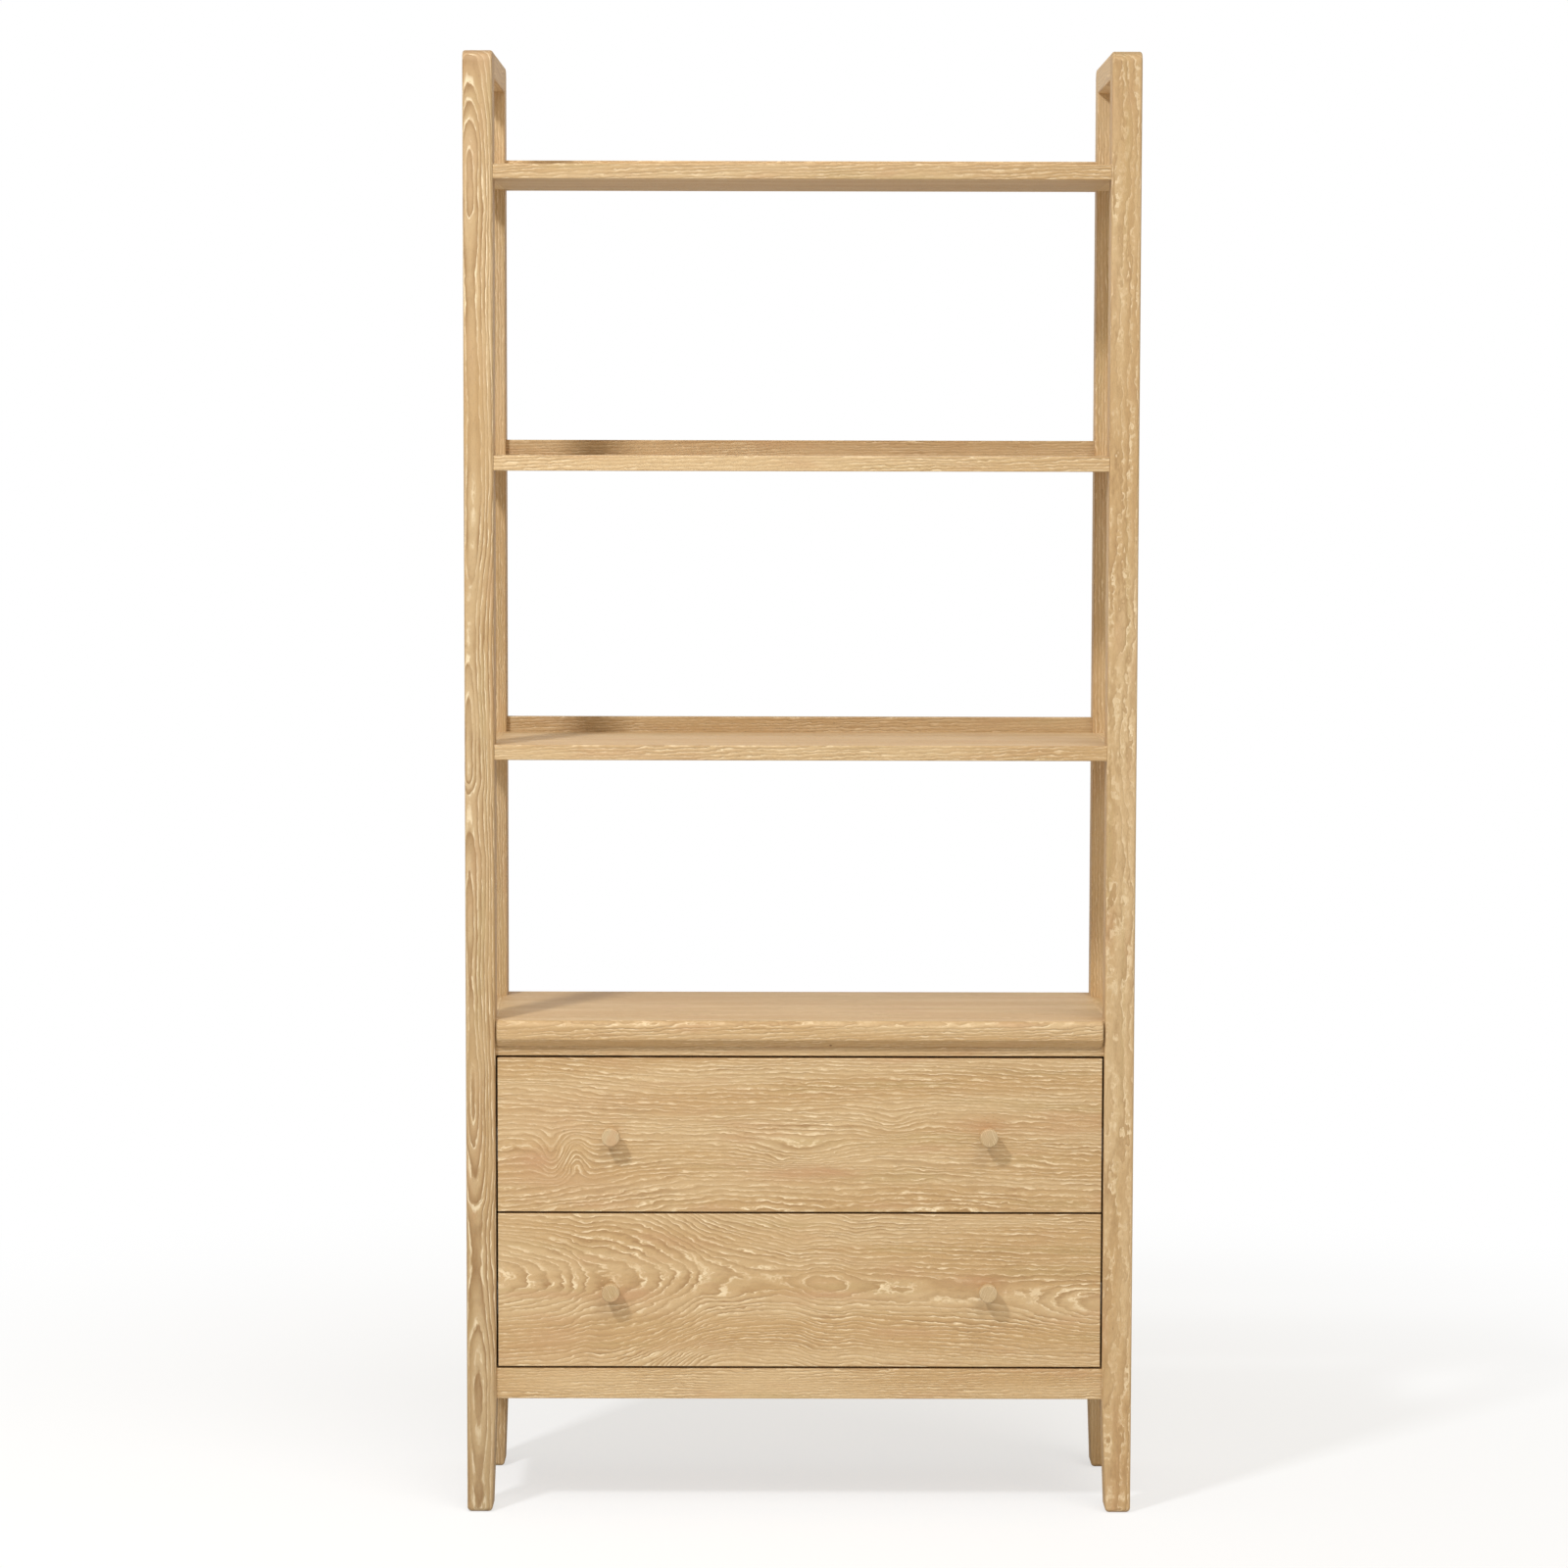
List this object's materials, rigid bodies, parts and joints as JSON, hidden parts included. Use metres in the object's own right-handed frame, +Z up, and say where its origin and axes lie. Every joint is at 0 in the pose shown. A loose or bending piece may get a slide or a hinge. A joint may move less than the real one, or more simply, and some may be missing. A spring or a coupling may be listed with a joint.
{
  "type": "bookcase",
  "caption": "Tall open bookcase in limed light oak, with fixed shelves above a low cabinet with inset drawers on telescopic slides.",
  "frame": {"origin": "on the floor, at the middle of the width and of the whole depth, knobs included", "axes": "+Z up, -Y towards the front with the drawers, +X to the right seen from the front"},
  "size_m": [0.914, 0.33, 1.996],
  "materials": {
    "limed_oak": "matt lacquer over limed oak",
    "drawer_wood": "plain sealed oak",
    "oak_veneer_panel": "thin veneered plywood, matt",
    "slide_steel": "zinc plated sheet steel",
    "screw_steel": "zinc plated steel"
  },
  "bodies": {
    "case": {"back_bottom_rail": "limed_oak", "back_panel": "oak_veneer_panel", "bottom_panel": "oak_veneer_panel", "cabinet_top": "limed_oak", "front_bottom_rail": "limed_oak", "front_top_rail": "limed_oak", "left_back_post": "limed_oak", "left_bottom_rail": "limed_oak", "left_cabinet_rail": "limed_oak", "left_front_post": "limed_oak", "left_lower_shelf_rail": "limed_oak", "left_middle_shelf_rail": "limed_oak", "left_runner_strips": "drawer_wood", "left_side_panel": "limed_oak", "left_slide_channels": "slide_steel", "left_top_rail": "limed_oak", "left_upper_shelf_rail": "limed_oak", "lower_ledge": "limed_oak", "lower_shelf": "limed_oak", "middle_ledge": "limed_oak", "middle_shelf": "limed_oak", "right_back_post": "limed_oak", "right_bottom_rail": "limed_oak", "right_cabinet_rail": "limed_oak", "right_front_post": "limed_oak", "right_lower_shelf_rail": "limed_oak", "right_middle_shelf_rail": "limed_oak", "right_runner_strips": "drawer_wood", "right_side_panel": "limed_oak", "right_slide_channels": "slide_steel", "right_top_rail": "limed_oak", "right_upper_shelf_rail": "limed_oak", "upper_ledge": "limed_oak", "upper_shelf": "limed_oak"},
    "lower_drawer": {"lower_drawer_back": "drawer_wood", "lower_drawer_bottom": "oak_veneer_panel", "lower_drawer_front": "limed_oak", "lower_drawer_knob_screws": "screw_steel", "lower_drawer_left_knob": "limed_oak", "lower_drawer_left_side": "drawer_wood", "lower_drawer_right_knob": "limed_oak", "lower_drawer_right_side": "drawer_wood", "lower_left_slide_drawer_member": "slide_steel", "lower_right_slide_drawer_member": "slide_steel"},
    "lower_slides": {"lower_left_slide_middle_member": "slide_steel", "lower_right_slide_middle_member": "slide_steel"},
    "upper_drawer": {"upper_drawer_back": "drawer_wood", "upper_drawer_bottom": "oak_veneer_panel", "upper_drawer_front": "limed_oak", "upper_drawer_knob_screws": "screw_steel", "upper_drawer_left_knob": "limed_oak", "upper_drawer_left_side": "drawer_wood", "upper_drawer_right_knob": "limed_oak", "upper_drawer_right_side": "drawer_wood", "upper_left_slide_drawer_member": "slide_steel", "upper_right_slide_drawer_member": "slide_steel"},
    "upper_slides": {"upper_left_slide_middle_member": "slide_steel", "upper_right_slide_middle_member": "slide_steel"}
  },
  "joints": [
    {"name": "upper_drawer_slide", "type": "slide", "parent": "case", "child": "upper_drawer", "axis": [0, -1, 0], "range_m": [0, 0.25]},
    {"name": "upper_slide_travel", "type": "slide", "parent": "case", "child": "upper_slides", "axis": [0, -1, 0], "range_m": [0, 0.125]},
    {"name": "lower_drawer_slide", "type": "slide", "parent": "case", "child": "lower_drawer", "axis": [0, -1, 0], "range_m": [0, 0.25]},
    {"name": "lower_slide_travel", "type": "slide", "parent": "case", "child": "lower_slides", "axis": [0, -1, 0], "range_m": [0, 0.125]}
  ],
  "couplings": [
    {"joint": "upper_slide_travel", "follows": "upper_drawer_slide", "ratio": 0.5},
    {"joint": "lower_slide_travel", "follows": "lower_drawer_slide", "ratio": 0.5}
  ]
}
